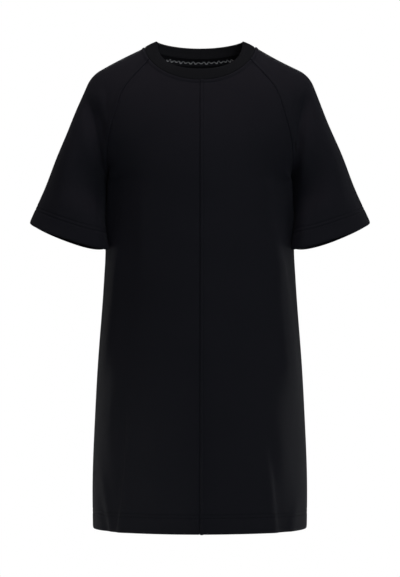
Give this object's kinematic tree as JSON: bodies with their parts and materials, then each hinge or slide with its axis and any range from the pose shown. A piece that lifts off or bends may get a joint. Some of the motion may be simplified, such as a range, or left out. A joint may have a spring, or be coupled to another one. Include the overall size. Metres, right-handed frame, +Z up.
{
  "type": "sweatshirt dress",
  "caption": "Short-sleeved sweatshirt dress with raglan sleeves, a centre-front seam and a folded rib neckband, hollow as worn.",
  "frame": {"origin": "midway between the two points where the neckband's seam crosses the tops of the shoulders", "axes": "+Z up, from the hem to the neck; -Y the front of the dress; +X the wearer's left"},
  "size_m": [0.6102, 0.3007, 0.8742],
  "materials": {
    "black_knit": "dull black sweatshirt knit, smooth face outside and loops inside",
    "black_rib": "dull black fine rib knit, folded double",
    "black_tape": "black woven twill tape"
  },
  "bodies": {
    "root": {"front_left": "black_knit", "front_right": "black_knit", "back": "black_knit", "sleeve_left": "black_knit", "sleeve_right": "black_knit", "neckband": "black_rib", "neck_tape": "black_tape"}
  },
  "joints": []
}
